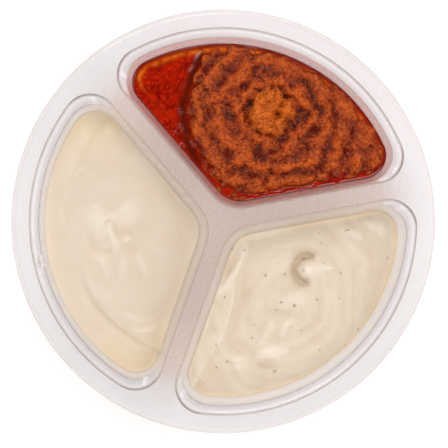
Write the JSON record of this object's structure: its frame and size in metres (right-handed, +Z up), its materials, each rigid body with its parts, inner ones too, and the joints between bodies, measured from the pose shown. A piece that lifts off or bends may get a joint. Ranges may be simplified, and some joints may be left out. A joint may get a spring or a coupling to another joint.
{
  "type": "three-section dip dish",
  "caption": "Round clear tray with pots divided by a Y of ribs, filled with chilli paste under oil, a plain cream dip and a flecked cream dip.",
  "frame": {"origin": "middle of the base, on the plane that the pots' floors stand on", "axes": "+Z up, out of the pots' mouths; -Y along one of the three ribs; +Y through the middle of the paste's pot"},
  "size_m": [0.15, 0.15, 0.035],
  "materials": {
    "tray_plastic": "clear, glossy, thin formed sheet",
    "chilli_paste": "wet, coarse, red-brown",
    "chilli_oil": "oily, orange-red, mirror-smooth",
    "plain_cream": "smooth, satin, cream",
    "flecked_cream": "smooth, satin, cream with dark flecks"
  },
  "bodies": {
    "root": {"dip_tray": "tray_plastic", "chilli_paste": "chilli_paste", "chilli_oil": "chilli_oil", "plain_dip": "plain_cream", "flecked_dip": "flecked_cream"}
  },
  "joints": []
}
